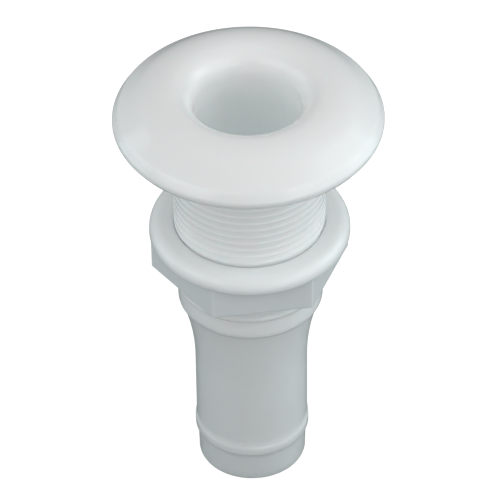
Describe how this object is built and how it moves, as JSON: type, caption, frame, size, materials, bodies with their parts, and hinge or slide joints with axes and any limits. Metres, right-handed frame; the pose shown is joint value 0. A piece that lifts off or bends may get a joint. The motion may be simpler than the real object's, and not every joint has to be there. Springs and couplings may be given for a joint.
{
  "type": "thru hull fitting",
  "caption": "White plastic through-hull fitting: mushroom flange, threaded shank with washer and hex nut, and a hose tail.",
  "frame": {"origin": "centre of the flange's flat underside, on the axis, where the fitting meets the hull's outer skin", "axes": "+Z out of the hull along the axis; the hose tail points along -Z; X and Y are free, as the fitting is round"},
  "size_m": [0.0666, 0.0666, 0.1197],
  "materials": {
    "fitting_plastic": "glossy moulded white",
    "washer_plastic": "satin moulded white",
    "nut_plastic": "satin moulded white"
  },
  "bodies": {
    "fitting": {"hull_fitting": "fitting_plastic"},
    "washer": {"hull_washer": "washer_plastic"},
    "nut": {"hex_nut": "nut_plastic"}
  },
  "joints": [
    {"name": "washer_travel", "type": "slide", "parent": "fitting", "child": "washer", "axis": [0, 0, 1], "range_m": [-0.0055, 0.0265]},
    {"name": "nut_turn", "type": "hinge", "parent": "washer", "child": "nut", "pos_m": [0, 0, -0.038], "axis": [0, 0, 1], "range_deg": [-930, 4500]}
  ],
  "couplings": [
    {"joint": "washer_travel", "follows": "nut_turn", "m_per_rad": 0.00033688}
  ]
}
